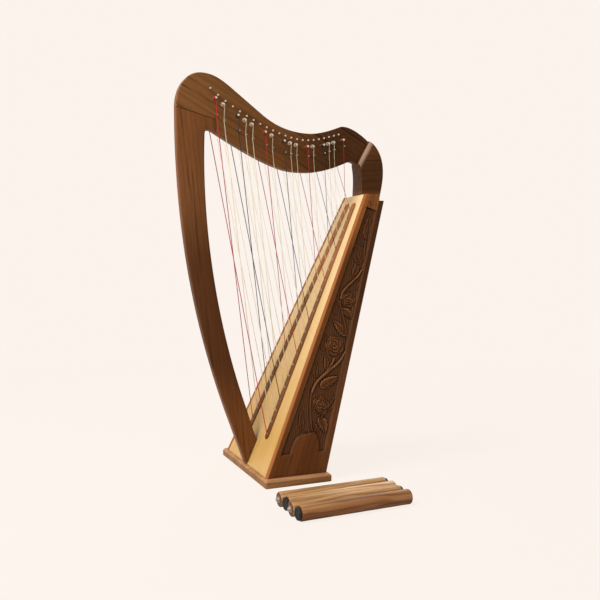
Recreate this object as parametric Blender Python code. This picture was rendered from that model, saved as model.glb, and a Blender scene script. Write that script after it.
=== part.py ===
"""Cross-strung harp with 22 natural and 16 accidental strings.

Metres, +Z up. The origin is the middle of the base's underside. X runs from the pillar
to the back of the soundbox, and -Y is the side that carries the accidental tuning pins.
The naturals wind on the +Y side of the neck and end in the string rib on the -Y side,
the accidentals the other way round, so the two rows of strings cross.
"""

import math

import bmesh
import bpy
from mathutils import Vector
from mathutils.geometry import interpolate_bezier

GAP = 0.0003

BASE_DEPTH = 0.145
BASE_WIDTH = 0.293
BASE_THICK = 0.016
BASE_BEVEL = 0.004

BOX_FOOT = BASE_THICK + GAP
BOX_TOP = 0.600
FRONT_FOOT_X = -0.065
FRONT_TOP_X = 0.1967
BACK_FOOT_X = 0.065
BACK_SLOPE = 0.3066
BACK_TOP = 0.586
HALF_FOOT = 0.134
HALF_TOP = 0.057
SIDE_THICK = 0.012
SIDE_BORDER = 0.011
BACK_THICK = 0.011
BOARD_THICK = 0.005
LINER = 0.007
BLOCK_BACK_X = 0.229
JOINT_FRONT_Z = 0.5715
JOINT_BACK_Z = 0.5630
BOTTOM_BLOCK = 0.028
SOUND_HOLES = ((0.150, 0.030), (0.275, 0.026), (0.385, 0.022))

RIB_THICK = 0.002
RIB_FOOT = 0.078
RIB_TOP = 0.583
RIB_HALF = 0.0088
SLOT_HALF = 0.003
ANCHOR_THICK = 0.0045
EYE_RADIUS = 0.0016

BOARD_HALF = 0.011
BOARD_EDGE = 0.003
SHOULDER_HALF = 0.0215
SHOULDER_BEVEL = 0.007
TENON_HALF = 0.012
TENON_X = (0.207, 0.2185)
TENON_FOOT = 0.558

NATURALS = 22
SHARPS_AFTER = (0, 1, 3, 4, 5)
PIN_RADIUS = 0.0025
PIN_HOLE = 0.0031
PIN_SQUARE = 0.0018
PIN_SQUARE_START = 0.008
PIN_KEY_END = 0.016
PIN_STRING_END = 0.030
ROW_DROP = 0.015
STRING_LEVEL = 0.025
BRIDGE_RADIUS = 0.0015
BRIDGE_HOLE = 0.0019
BRIDGE_START = 0.006
BRIDGE_END = 0.0275
BASS_RADIUS = 0.00075
TREBLE_RADIUS = 0.00042
TURN_POINTS = 8
WOUND_POINTS = 20
TURN_PITCH = 0.0021

LEG_RADIUS = 0.014
LEG_LENGTH = 0.225
LEG_PITCH = 0.0284
LEG_YAW = math.radians(2.1)
LEGS_MIDDLE = (0.028, -0.3353)
STUD_RADIUS = 0.004
STUD_LENGTH = 0.005
FOOT_RADIUS = 0.0118
FOOT_LENGTH = 0.005

# Side view outlines as (x, z). Four points are a Bezier stretch, two are a straight one.
PILLAR_OUTER = (
    ((-0.2145, 0.7645), (-0.2145, 0.7570)),
    ((-0.2145, 0.7570), (-0.2144, 0.5125), (-0.1753, 0.3107), (-0.1031, 0.1138)),
    ((-0.1031, 0.1138), (-0.0684, 0.0185)),
)
PILLAR_INNER = (
    ((-0.1310, 0.7173), (-0.1405, 0.7235), (-0.1545, 0.7285), (-0.1545, 0.7120)),
    ((-0.1545, 0.7120), (-0.1618, 0.5099), (-0.1259, 0.3061), (-0.0658, 0.1364)),
    ((-0.0658, 0.1364), (-0.0411, 0.0672)),
)
NECK_CORNER = (-0.131, 0.745)
NECK_TOP = (
    ((-0.2145, 0.7648), (-0.2145, 0.8096), (-0.1899, 0.8385), (-0.1595, 0.8385)),
    ((-0.1595, 0.8385), (-0.1385, 0.8385), (-0.1225, 0.8321), (-0.0973, 0.8137)),
    ((-0.0973, 0.8137), (-0.0277, 0.7628)),
    ((-0.0277, 0.7628), (0.0014, 0.7416), (0.0352, 0.7304), (0.0767, 0.7304)),
    ((0.0767, 0.7304), (0.1031, 0.7304), (0.1340, 0.7416), (0.1532, 0.7496)),
    ((0.1532, 0.7496), (0.1710, 0.7571), (0.2010, 0.7430), (0.2255, 0.7230)),
)
NECK_BOTTOM = (
    ((0.1953, 0.6711), (0.1903, 0.6746), (0.1849, 0.6765), (0.1801, 0.6753)),
    ((0.1801, 0.6753), (0.1636, 0.6712), (0.1155, 0.6392), (0.0374, 0.6469)),
    ((0.0374, 0.6469), (-0.0062, 0.6511), (-0.0747, 0.6861), (-0.1307, 0.7171)),
)
SHOULDER_OUTER = (
    ((0.2255, 0.7230), (0.2449, 0.7102), (0.2570, 0.6897), (0.2588, 0.6616)),
    ((0.2588, 0.6616), (0.2605, 0.6341), (0.2527, 0.6098), (0.2494, 0.5910)),
)
SHOULDER_HEEL_X = 0.248
SHOULDER_INNER = (((0.2008, 0.6003), (0.2025, 0.6290), (0.2040, 0.6590), (0.1953, 0.6711)),)
PIN_ROW = (
    ((-0.1436, 0.8069), (-0.0930, 0.7640), (0.0100, 0.7143), (0.0640, 0.7143)),
    ((0.0640, 0.7143), (0.0950, 0.7143), (0.1220, 0.7246), (0.1492, 0.7323)),
)

FRONT_SLOPE = (FRONT_TOP_X - FRONT_FOOT_X) / (BOX_TOP - BASE_THICK)
FRONT_ALONG_X = math.hypot(1.0, FRONT_SLOPE)
INWARD = Vector((1.0, 0.0, -FRONT_SLOPE)).normalized()
BEHIND_BOARD = BOARD_THICK * FRONT_ALONG_X + GAP
BACK_LAP = BACK_THICK + GAP


def front_x(z):
    return FRONT_FOOT_X + FRONT_SLOPE * (z - BASE_THICK)


def back_x(z):
    return BACK_FOOT_X + BACK_SLOPE * (z - BASE_THICK)


def half_width(z):
    return HALF_FOOT + (HALF_TOP - HALF_FOOT) * (z - BASE_THICK) / (BOX_TOP - BASE_THICK)


def rib_y(z):
    """Distance of each string rib's middle line from the middle of the soundboard."""
    return 0.0601 - 0.0745 * z


def trace(stretches, steps):
    """Points along Bezier and straight stretches that follow one another."""
    points = []
    for stretch in stretches:
        knots = [Vector(point) for point in stretch]
        if len(knots) == 4:
            points += interpolate_bezier(*knots, steps + 1)[:-1]
        else:
            points.append(knots[0])
    points.append(Vector(stretches[-1][-1]))
    return [(point.x, point.y) for point in points]


def material(name, color, roughness, metallic=0.0):
    made = bpy.data.materials.new(name)
    made.use_nodes = True
    surface = made.node_tree.nodes["Principled BSDF"]
    surface.inputs["Base Color"].default_value = (*color, 1.0)
    surface.inputs["Roughness"].default_value = roughness
    surface.inputs["Metallic"].default_value = metallic
    return made


def add_object(name, mesh, finish=None, origin=(0.0, 0.0, 0.0)):
    """Link a mesh as an object, with its origin moved to the given point."""
    origin = Vector(origin)
    for vertex in mesh.vertices:
        vertex.co -= origin
    made = bpy.data.objects.new(name, mesh)
    made.location = origin
    bpy.context.scene.collection.objects.link(made)
    if finish:
        mesh.materials.append(finish)
    return made


def to_mesh(bm, name):
    bmesh.ops.recalc_face_normals(bm, faces=bm.faces)
    mesh = bpy.data.meshes.new(name)
    bm.to_mesh(mesh)
    bm.free()
    return mesh


def loft(bm, rings):
    """Closed solid through rings of points with equal counts, capped at both ends."""
    made = [[bm.verts.new(point) for point in ring] for ring in rings]
    for low, high in zip(made, made[1:]):
        for i in range(len(low)):
            j = (i + 1) % len(low)
            bm.faces.new((low[i], low[j], high[j], high[i]))
    bm.faces.new(list(reversed(made[0])))
    bm.faces.new(made[-1])


def slab(bm, outline, face_a, face_b):
    """Closed solid between two faces: each function places an outline point on its face."""
    loft(bm, ([face_a(*point) for point in outline], [face_b(*point) for point in outline]))


def upright(bm, outline, half):
    """Slab of an (x, z) outline, spread half to each side of the middle plane."""
    slab(bm, outline, lambda x, z: (x, -half, z), lambda x, z: (x, half, z))


def across(bm, outline, inset):
    """Slab of an (x, z) outline that reaches to the leaning side faces, less an inset."""
    slab(bm, outline, lambda x, z: (x, inset - half_width(z), z), lambda x, z: (x, half_width(z) - inset, z))


def drawn_in(outline, crisp):
    """The outline moved in by the width of the chamfer, except along its crisp edges."""
    points = [Vector(point) for point in outline]
    count = len(points)
    turn = sum(points[i - 1].x * points[i].y - points[i].x * points[i - 1].y for i in range(count))
    way = 1.0 if turn > 0.0 else -1.0
    normals = []
    for i in range(count):
        along = (points[(i + 1) % count] - points[i]).normalized()
        normals.append(way * Vector((-along.y, along.x)))
    moved = []
    for i in range(count):
        a, b = normals[i - 1], normals[i]
        depth_a = 0.0 if (i - 1) % count in crisp else BOARD_EDGE
        depth_b = 0.0 if i in crisp else BOARD_EDGE
        cross = a.x * b.y - a.y * b.x
        if abs(cross) < 0.001:
            step = a * depth_a
        else:
            step = Vector((depth_a * b.y - depth_b * a.y, a.x * depth_b - b.x * depth_a)) / cross
        moved.append(tuple(points[i] + step))
    return moved


def plank(name, outline, crisp, wood):
    """Board sawn to an (x, z) outline, with chamfered edges except at its joints."""
    inner = drawn_in(outline, crisp)
    rings = []
    for y, points in ((-BOARD_HALF, inner), (BOARD_EDGE - BOARD_HALF, outline),
                      (BOARD_HALF - BOARD_EDGE, outline), (BOARD_HALF, inner)):
        rings.append([(x, y, z) for x, z in points])
    bm = bmesh.new()
    loft(bm, rings)
    return add_object(name, to_mesh(bm, name), wood)


def ring_about(center, along, radius, sides):
    """Points of a circle about an axis through its center."""
    turn = Vector((0.0, 0.0, 1.0)).rotation_difference(along)
    ring = []
    for i in range(sides):
        angle = 2.0 * math.pi * i / sides
        ring.append(turn @ Vector((radius * math.cos(angle), radius * math.sin(angle), 0.0)) + center)
    return ring


def turned(bm, profile, sides, start, along):
    """Closed solid turned about an axis, from (distance along it, radius) points."""
    loft(bm, [ring_about(start + along * distance, along, radius, sides) for distance, radius in profile])


def cylinder(bm, radius, start, end, sides):
    start, end = Vector(start), Vector(end)
    length = (end - start).length
    turned(bm, ((0.0, radius), (length, radius)), sides, start, (end - start) / length)


def guide(name, bm):
    """Hidden mesh that a Boolean takes away from, or adds to, another piece."""
    made = add_object(name, to_mesh(bm, name))
    made.hide_render = True
    made.display_type = 'WIRE'
    return made


def boolean(piece, operand, operation):
    modifier = piece.modifiers.new(operand.name, 'BOOLEAN')
    modifier.operation = operation
    modifier.solver = 'EXACT'
    modifier.object = operand


def make_base(wood):
    """Plate under the soundbox, with a bevelled top edge."""
    rings = []
    for z, inset in ((0.0, 0.0), (BASE_THICK - BASE_BEVEL, 0.0), (BASE_THICK, BASE_BEVEL)):
        x, y = BASE_DEPTH / 2 - inset, BASE_WIDTH / 2 - inset
        rings.append([(-x, -y, z), (x, -y, z), (x, y, z), (-x, y, z)])
    bm = bmesh.new()
    loft(bm, rings)
    add_object("base_plate", to_mesh(bm, "base_plate"), wood)


def make_side(name, side, wood):
    """Side panel with a lining strip inside it that the soundboard rests on.

    Its front border runs to the top of the box, the rest stops at the top block.
    """
    outline = [
        (front_x(BOX_FOOT), BOX_FOOT),
        (FRONT_TOP_X, BOX_TOP),
        (FRONT_TOP_X + SIDE_BORDER, BOX_TOP),
        (front_x(JOINT_FRONT_Z) + SIDE_BORDER, JOINT_FRONT_Z),
        (back_x(JOINT_BACK_Z) - BACK_LAP, JOINT_BACK_Z),
        (back_x(BOX_FOOT) - BACK_LAP, BOX_FOOT),
    ]
    bm = bmesh.new()
    slab(bm, outline, lambda x, z: (x, side * half_width(z), z),
         lambda x, z: (x, side * (half_width(z) - SIDE_THICK), z))
    panel = add_object(name, to_mesh(bm, name), wood)
    low, high = BOX_FOOT + BOTTOM_BLOCK + 2 * GAP, JOINT_BACK_Z - 0.015
    strip_outline = [(front_x(z) + BEHIND_BOARD + step, z)
                     for z, step in ((low, 0.0), (high, 0.0), (high, LINER), (low, LINER))]
    strip = bmesh.new()
    slab(strip, strip_outline, lambda x, z: (x, side * (half_width(z) - SIDE_THICK / 2), z),
         lambda x, z: (x, side * (half_width(z) - SIDE_THICK - LINER), z))
    boolean(panel, guide(name + "_lining", strip), 'UNION')


def make_back(wood):
    """Back panel, which laps over the side panels' back edges, with three sound holes."""
    outline = [(-half_width(BOX_FOOT), BOX_FOOT), (half_width(BOX_FOOT), BOX_FOOT),
               (half_width(BACK_TOP), BACK_TOP), (-half_width(BACK_TOP), BACK_TOP)]
    bm = bmesh.new()
    slab(bm, outline, lambda y, z: (back_x(z), y, z), lambda y, z: (back_x(z) - BACK_THICK, y, z))
    back = add_object("back_panel", to_mesh(bm, "back_panel"), wood)
    holes = bmesh.new()
    for z, radius in SOUND_HOLES:
        cylinder(holes, radius, (back_x(z) - 0.030, 0.0, z), (back_x(z) + 0.020, 0.0, z), 24)
    boolean(back, guide("sound_holes", holes), 'DIFFERENCE')


def eye(index, side):
    """Middle of a string's hole on the outer face of its rib, by place along the row."""
    z = 0.088 + 0.024 * index - 0.000065 * index * index
    return Vector((front_x(z) - RIB_THICK * FRONT_ALONG_X, side * rib_y(z), z))


def string_holes(name, indexes, side):
    """Cutter for one rib's string holes, which run square to the soundboard."""
    bm = bmesh.new()
    for index in indexes:
        mouth = eye(index, side)
        cylinder(bm, EYE_RADIUS, mouth - 0.003 * INWARD, mouth + 0.006 * INWARD, 8)
    return guide(name, bm)


def make_soundboard(spruce):
    """Thin board set between the side panels, slotted under each string rib."""
    inset = SIDE_THICK + GAP
    outline = [(inset - half_width(BOX_FOOT), BOX_FOOT), (half_width(BOX_FOOT) - inset, BOX_FOOT),
               (half_width(BOX_TOP) - inset, BOX_TOP), (inset - half_width(BOX_TOP), BOX_TOP)]
    bm = bmesh.new()
    slab(bm, outline, lambda y, z: (front_x(z), y, z), lambda y, z: (front_x(z) + BOARD_THICK * FRONT_ALONG_X, y, z))
    board = add_object("soundboard", to_mesh(bm, "soundboard"), spruce)
    slots = bmesh.new()
    for side in (-1, 1):
        strip = [(offset, z) for z, offset in ((RIB_FOOT + 0.005, -SLOT_HALF), (RIB_FOOT + 0.005, SLOT_HALF),
                                               (RIB_TOP - 0.005, SLOT_HALF), (RIB_TOP - 0.005, -SLOT_HALF))]
        slab(slots, strip, lambda offset, z: (front_x(z) - 0.002, side * rib_y(z) + offset, z),
             lambda offset, z: (front_x(z) + 0.010, side * rib_y(z) + offset, z))
    boolean(board, guide("rib_slots", slots), 'DIFFERENCE')


def rib_slab(bm, side, near, deep):
    """Strip along a row of string holes, with round ends, between two depths behind the soundboard's face."""
    outline = []
    for middle, start in ((RIB_TOP - RIB_HALF, 0.0), (RIB_FOOT + RIB_HALF, math.pi)):
        for i in range(9):
            angle = start + math.pi * i / 8
            outline.append((RIB_HALF * math.cos(angle), middle + RIB_HALF * math.sin(angle)))
    slab(bm, outline, lambda offset, z: (front_x(z) + near, side * rib_y(z) + offset, z),
         lambda offset, z: (front_x(z) + deep, side * rib_y(z) + offset, z))


def make_rib(name, side, wood, cutter):
    """Hardwood strip on the soundboard, drilled for one row of strings."""
    bm = bmesh.new()
    rib_slab(bm, side, -GAP, -RIB_THICK * FRONT_ALONG_X)
    boolean(add_object(name, to_mesh(bm, name), wood), cutter, 'DIFFERENCE')


def make_top_block(wood):
    """Block that closes the top of the soundbox and takes the shoulder's tenon."""
    border = SIDE_BORDER + GAP
    kink = BASE_THICK + (BLOCK_BACK_X + BACK_LAP - BACK_FOOT_X) / BACK_SLOPE
    outer = [(FRONT_TOP_X + border, BOX_TOP), (BLOCK_BACK_X, BOX_TOP), (BLOCK_BACK_X, kink),
             (back_x(JOINT_BACK_Z) - BACK_LAP, JOINT_BACK_Z + GAP),
             (front_x(JOINT_FRONT_Z) + border, JOINT_FRONT_Z + GAP)]
    bm = bmesh.new()
    across(bm, outer, 0.0)
    block = add_object("top_block", to_mesh(bm, "top_block"), wood)
    foot = RIB_TOP + 0.002
    inner = [(FRONT_TOP_X + BEHIND_BOARD, BOX_TOP), (FRONT_TOP_X + border + 0.004, BOX_TOP),
             (front_x(foot) + border + 0.004, foot), (front_x(foot) + BEHIND_BOARD, foot)]
    lip = bmesh.new()
    across(lip, inner, SIDE_THICK + GAP)
    boolean(block, guide("top_block_lip", lip), 'UNION')
    mortise = bmesh.new()
    low, high = TENON_X[0] - GAP, TENON_X[1] + GAP
    upright(mortise, [(low, 0.530), (high, 0.530), (high, 0.610), (low, 0.610)], TENON_HALF + GAP)
    boolean(block, guide("tenon_mortise", mortise), 'DIFFERENCE')


def make_bottom_block(wood):
    """Block inside the foot of the soundbox, which the base is screwed to."""
    top = BOX_FOOT + BOTTOM_BLOCK
    lap = BACK_LAP + GAP
    outline = [(front_x(BOX_FOOT) + BEHIND_BOARD, BOX_FOOT), (front_x(top) + BEHIND_BOARD, top),
               (back_x(top) - lap, top), (back_x(BOX_FOOT) - lap, BOX_FOOT)]
    bm = bmesh.new()
    across(bm, outline, SIDE_THICK + GAP)
    add_object("bottom_block", to_mesh(bm, "bottom_block"), wood)


def make_pillar(wood):
    """Bowed pillar, whose foot is cut to lean on the soundboard and whose head carries the neck."""
    foot_front = (front_x(0.0185) - 3 * GAP, 0.0185)
    foot_back = (front_x(0.0665) - 3 * GAP, 0.0665)
    inner = trace(PILLAR_INNER, 8)[:-1] + [foot_back, foot_front]
    outer = list(reversed(trace(PILLAR_OUTER, 9)))
    outline = [NECK_CORNER] + inner + outer
    plank("pillar", outline, {0, outline.index(foot_back), len(outline) - 1}, wood)


def pin_place(index, row, drop):
    """Where a tuning pin goes through the neck: the spacing closes from 16 to 12 mm."""
    x = -0.1436 + 0.0163 * index - 0.000113 * index * index
    for (x0, z0), (x1, z1) in zip(row, row[1:]):
        if x <= x1:
            break
    return x, z0 + (z1 - z0) * (x - x0) / (x1 - x0) - drop


def string_specs():
    """One entry for each string: kind, number, place along the rows, side of the neck and its pin's place."""
    row = trace(PIN_ROW, 24)
    specs = []
    for i in range(NATURALS):
        specs.append(("natural", i + 1, float(i), 1, pin_place(i, row, 0.0)))
    sharps = [i + 0.5 for i in range(NATURALS) if i % 7 in SHARPS_AFTER]
    for number, index in enumerate(sharps, 1):
        specs.append(("accidental", number, index, -1, pin_place(index, row, ROW_DROP)))
    return specs


def bridge_place(spec):
    """Bridge pin under a tuning pin: 34 mm lower in the bass, 13 mm in the treble."""
    kind, number, index, side, (x, z) = spec
    drop = 0.034 - 0.021 * index / NATURALS
    if kind == "natural":
        drop += 0.010
    return x + 0.004, z - drop


def string_radius(index):
    return BASS_RADIUS + (TREBLE_RADIUS - BASS_RADIUS) * index / NATURALS


def string_path(spec):
    """Turns round the tuning pin, then the bridge pin, the eye of the rib and the anchor inside."""
    kind, number, index, side, (pin_x, pin_z) = spec
    radius = string_radius(index)
    wind = (PIN_RADIUS + GAP + radius) / math.cos(math.pi / TURN_POINTS)
    path = []
    for i in range(WOUND_POINTS, -1, -1):
        angle = 2.0 * math.pi * i / TURN_POINTS
        level = STRING_LEVEL - TURN_PITCH * i / TURN_POINTS
        path.append(Vector((pin_x + wind * math.cos(angle), side * level, pin_z + wind * math.sin(angle))))
    bridge_x, bridge_z = bridge_place(spec)
    path.append(Vector((bridge_x - BRIDGE_RADIUS, side * STRING_LEVEL, bridge_z)))
    mouth = eye(index, -side)
    path.append(mouth - 0.001 * INWARD)
    path.append(mouth + (RIB_THICK + BOARD_THICK + 0.003) * INWARD)
    return path


def least_gap(path, radius):
    """Clear distance between the turns of a winding, measured on points along the tube."""
    points = []
    for start, end in zip(path[:WOUND_POINTS + 1], path[1:]):
        points += [start.lerp(end, i / 4) for i in range(4)]
    apart = 2 * TURN_POINTS
    return min((points[i] - points[j]).length
               for i in range(len(points)) for j in range(i + apart, len(points))) - 2 * radius


def make_strings(name, specs, side, nylon):
    """One row of strings and the bridge pins that they bend round, all held by the anchor rib in the soundbox."""
    bm = bmesh.new()
    rib_slab(bm, side, BEHIND_BOARD, BEHIND_BOARD + ANCHOR_THICK * FRONT_ALONG_X)
    anchor = add_object(name, to_mesh(bm, name), nylon)
    curve = bpy.data.curves.new(name + "_runs", 'CURVE')
    curve.dimensions = '3D'
    curve.bevel_depth = 1.0
    curve.bevel_resolution = 0
    curve.use_fill_caps = True
    gaps = []
    pegs = bmesh.new()
    for spec in specs:
        out = spec[3]
        bridge_x, bridge_z = bridge_place(spec)
        start, end = (bridge_x, out * BRIDGE_START, bridge_z), (bridge_x, out * BRIDGE_END, bridge_z)
        cylinder(pegs, BRIDGE_RADIUS, start, end, 6)
        path = string_path(spec)
        radius = string_radius(spec[2])
        gaps.append(least_gap(path, radius))
        spline = curve.splines.new('POLY')
        spline.points.add(len(path) - 1)
        for point, place in zip(spline.points, path):
            point.co = (*place, 1.0)
            point.radius = radius
    print("%s: least gap between turns %.2f mm" % (name, 1000.0 * min(gaps)))
    source = bpy.data.objects.new(name + "_curve", curve)
    runs = bmesh.new()
    runs.from_mesh(bpy.data.meshes.new_from_object(source))
    bmesh.ops.remove_doubles(runs, verts=runs.verts, dist=0.000001)
    bpy.data.objects.remove(source)
    boolean(anchor, guide(name + "_runs", runs), 'UNION')
    boolean(anchor, guide(name + "_bridge_pins", pegs), 'UNION')


def make_neck(specs, wood):
    """Harmonic-curve neck, drilled through for the tuning pins and part way for the bridge pins."""
    corner = (NECK_CORNER[0] + GAP, NECK_CORNER[1] + GAP)
    top = trace(NECK_TOP, 8)
    outline = top + trace(NECK_BOTTOM, 8) + [corner]
    neck = plank("neck", outline, {len(top) - 1, len(outline) - 2, len(outline) - 1}, wood)
    holes = bmesh.new()
    for spec in specs:
        side, (x, z) = spec[3], spec[4]
        cylinder(holes, PIN_HOLE, (x, -0.020, z), (x, 0.020, z), 8)
        bridge_x, bridge_z = bridge_place(spec)
        start, end = (bridge_x, side * (BRIDGE_START - GAP), bridge_z), (bridge_x, side * 0.020, bridge_z)
        cylinder(holes, BRIDGE_HOLE, start, end, 6)
    boolean(neck, guide("pin_holes", holes), 'DIFFERENCE')


def make_shoulder(wood):
    """Thick block that joins the neck to the soundbox, bevelled where it meets the thinner neck."""
    head, heel = Vector(SHOULDER_OUTER[0][0]), Vector(SHOULDER_INNER[0][3])
    down = (heel - head).normalized()
    away = Vector((-down.y, down.x))
    outer = [Vector(point) for point in trace(SHOULDER_OUTER, 8)]
    inner = [Vector(point) for point in trace(SHOULDER_INNER, 6)]
    outer[0] += away * GAP
    inner[-1] += away * GAP
    seat_z, top_z, step_x = BACK_TOP + GAP, BOX_TOP + GAP, BLOCK_BACK_X + GAP
    seat = [(SHOULDER_HEEL_X, seat_z), (step_x, seat_z), (step_x, top_z)]
    bm = bmesh.new()
    upright(bm, [tuple(point) for point in outer] + seat + [tuple(point) for point in inner], SHOULDER_HALF)
    for side in (-1, 1):
        rim = Vector((head.x, side * (BOARD_HALF + 0.0005), head.y))
        slope = Vector((away.x * SHOULDER_BEVEL, side * (SHOULDER_HALF - BOARD_HALF), away.y * SHOULDER_BEVEL))
        normal = Vector((down.x, 0.0, down.y)).cross(slope)
        if normal.y * side < 0.0:
            normal.negate()
        cut = bmesh.ops.bisect_plane(bm, geom=bm.verts[:] + bm.edges[:] + bm.faces[:], plane_co=rim,
                                     plane_no=normal, clear_outer=True)
        rim_edges = [item for item in cut["geom_cut"] if isinstance(item, bmesh.types.BMEdge)]
        bmesh.ops.edgeloop_fill(bm, edges=rim_edges)
    shoulder = add_object("shoulder", to_mesh(bm, "shoulder"), wood)
    low, high = TENON_X
    tenon = bmesh.new()
    upright(tenon, [(low, TENON_FOOT), (high, TENON_FOOT), (high, 0.606), (low, 0.606)], TENON_HALF)
    boolean(shoulder, guide("shoulder_tenon", tenon), 'UNION')


def make_tuning_pin(spec, steel):
    """Steel pin through the neck, square at the key's end. It turns on its own axis."""
    kind, number, index, side, (x, z) = spec
    rings = []
    for distance, square in ((PIN_STRING_END, False), (-PIN_SQUARE_START, False),
                             (-PIN_SQUARE_START - 0.0005, True), (-PIN_KEY_END, True)):
        ring = []
        for i in range(12):
            angle = math.radians(15 + 30 * i)
            reach = PIN_RADIUS
            if square:
                reach = min(PIN_RADIUS - 0.0002, PIN_SQUARE / max(abs(math.cos(angle)), abs(math.sin(angle))))
            ring.append((x + reach * math.cos(angle), side * distance, z + reach * math.sin(angle)))
        rings.append(ring)
    bm = bmesh.new()
    loft(bm, rings)
    name = "tuning_pin_%s_%02d" % (kind, number)
    add_object(name, to_mesh(bm, name), steel, origin=(x, 0.0, z))


def make_leg(number, wood, rubber):
    """Round screw-in leg, lying beside the harp. Every other one lies the other way round."""
    lie = Vector((math.cos(LEG_YAW), math.sin(LEG_YAW), 0.0))
    along = lie if number % 2 else -lie
    row = Vector((LEGS_MIDDLE[0], LEGS_MIDDLE[1] + LEG_PITCH * (4 - number), LEG_RADIUS))
    stud_end = row - along * (LEG_LENGTH + FOOT_LENGTH) / 2
    foot_end = stud_end + along * LEG_LENGTH
    soft = 0.002
    profile = ((-STUD_LENGTH, STUD_RADIUS - 0.001), (0.001 - STUD_LENGTH, STUD_RADIUS), (-0.0002, STUD_RADIUS),
               (0.0, LEG_RADIUS - soft), (soft, LEG_RADIUS), (LEG_LENGTH - soft, LEG_RADIUS),
               (LEG_LENGTH, LEG_RADIUS - soft))
    name = "leg_%d" % number
    bm = bmesh.new()
    turned(bm, profile, 20, stud_end, along)
    leg = add_object(name, to_mesh(bm, name), wood, origin=row)
    foot_profile = ((GAP, FOOT_RADIUS), (FOOT_LENGTH - soft, FOOT_RADIUS), (FOOT_LENGTH, FOOT_RADIUS - soft))
    name = "leg_foot_%d" % number
    bm = bmesh.new()
    turned(bm, foot_profile, 20, foot_end, along)
    foot = add_object(name, to_mesh(bm, name), rubber, origin=row)
    foot.location = (0.0, 0.0, 0.0)
    foot.parent = leg


def shade(piece):
    piece.data.shade_smooth()
    piece.data.set_sharp_from_angle(angle=math.radians(35))


def build():
    for old in list(bpy.data.objects):
        bpy.data.objects.remove(old)
    rosewood = material("oiled_rosewood", (0.115, 0.043, 0.017), 0.42)
    dark_rosewood = material("dark_rosewood", (0.075, 0.028, 0.012), 0.40)
    spruce = material("lacquered_spruce", (0.80, 0.52, 0.25), 0.35)
    base_wood = material("base_rosewood", (0.33, 0.16, 0.07), 0.45)
    leg_wood = material("leg_wood", (0.45, 0.24, 0.11), 0.45)
    inner_wood = material("inner_wood", (0.55, 0.38, 0.20), 0.6)
    nylon = material("nylon", (0.75, 0.70, 0.60), 0.3)
    steel = material("nickel_plated_steel", (0.72, 0.70, 0.68), 0.25, 1.0)
    rubber = material("black_rubber", (0.03, 0.03, 0.03), 0.8)

    specs = string_specs()
    naturals = [spec for spec in specs if spec[0] == "natural"]
    accidentals = [spec for spec in specs if spec[0] == "accidental"]

    make_base(base_wood)
    make_side("side_panel_near", -1, rosewood)
    make_side("side_panel_far", 1, rosewood)
    make_back(rosewood)
    make_soundboard(spruce)
    near_holes = string_holes("natural_string_holes", [spec[2] for spec in naturals], -1)
    far_holes = string_holes("accidental_string_holes", [spec[2] for spec in accidentals], 1)
    make_rib("string_rib_naturals", -1, dark_rosewood, near_holes)
    make_rib("string_rib_accidentals", 1, dark_rosewood, far_holes)
    make_top_block(rosewood)
    make_bottom_block(inner_wood)
    make_pillar(rosewood)
    make_neck(specs, dark_rosewood)
    make_shoulder(dark_rosewood)
    make_strings("natural_strings", naturals, -1, nylon)
    make_strings("accidental_strings", accidentals, 1, nylon)
    for spec in specs:
        make_tuning_pin(spec, steel)
    for number in range(1, 5):
        make_leg(number, leg_wood, rubber)
    for piece in bpy.data.objects:
        if not piece.hide_render:
            shade(piece)


build()
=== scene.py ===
# %% [markdown]
# # A cross-strung harp
# This harp has two rows of strings that cross like an X. The naturals are wound on the far
# side of the neck and end on the near half of the soundboard, the accidentals the other way
# round. The frame that we load is the exact CAD model. It keeps every size, and this lesson
# gives it rounded edges, wood, carving and strings.

import math

import bmesh
import bpy
import numpy as np
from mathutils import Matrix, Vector
from mathutils.geometry import interpolate_bezier


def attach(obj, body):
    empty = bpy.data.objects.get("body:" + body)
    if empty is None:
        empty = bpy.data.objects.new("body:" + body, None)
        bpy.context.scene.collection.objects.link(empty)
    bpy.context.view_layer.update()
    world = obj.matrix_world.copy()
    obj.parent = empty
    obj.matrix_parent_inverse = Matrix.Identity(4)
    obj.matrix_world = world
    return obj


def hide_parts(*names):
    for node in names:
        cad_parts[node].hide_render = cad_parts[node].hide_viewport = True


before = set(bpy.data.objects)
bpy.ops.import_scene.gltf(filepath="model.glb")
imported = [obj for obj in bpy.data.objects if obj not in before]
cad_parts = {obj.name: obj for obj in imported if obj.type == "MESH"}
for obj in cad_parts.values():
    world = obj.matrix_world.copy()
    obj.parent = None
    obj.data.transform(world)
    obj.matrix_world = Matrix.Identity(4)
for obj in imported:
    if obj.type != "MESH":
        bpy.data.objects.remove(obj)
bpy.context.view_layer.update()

# %% [markdown]
# ## Measures of the harp
# A dressed piece has to fit the same joints as the CAD piece, so we write the same measures
# here, in metres. The front of the soundbox leans back and its sides lean in, and three short
# functions say where these faces are at any height.

# %% The soundbox's leaning faces
GAP = 0.0003
BOX_FOOT, BOX_TOP = 0.0163, 0.600
FRONT_SLOPE = 0.2617 / 0.584
SIDE_THICK, SIDE_BORDER, BACK_LAP = 0.012, 0.011, 0.0113
JOINT_FRONT_Z, JOINT_BACK_Z = 0.5715, 0.5630
INWARD = Vector((1.0, 0.0, -FRONT_SLOPE)).normalized()


def front_x(z):
    return -0.065 + FRONT_SLOPE * (z - 0.016)


def back_x(z):
    return 0.065 + 0.3066 * (z - 0.016)


def half_width(z):
    return 0.134 - 0.077 * (z - 0.016) / 0.584


print("soundbox front leans back %.1f degrees" % math.degrees(math.atan(FRONT_SLOPE)))

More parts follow.
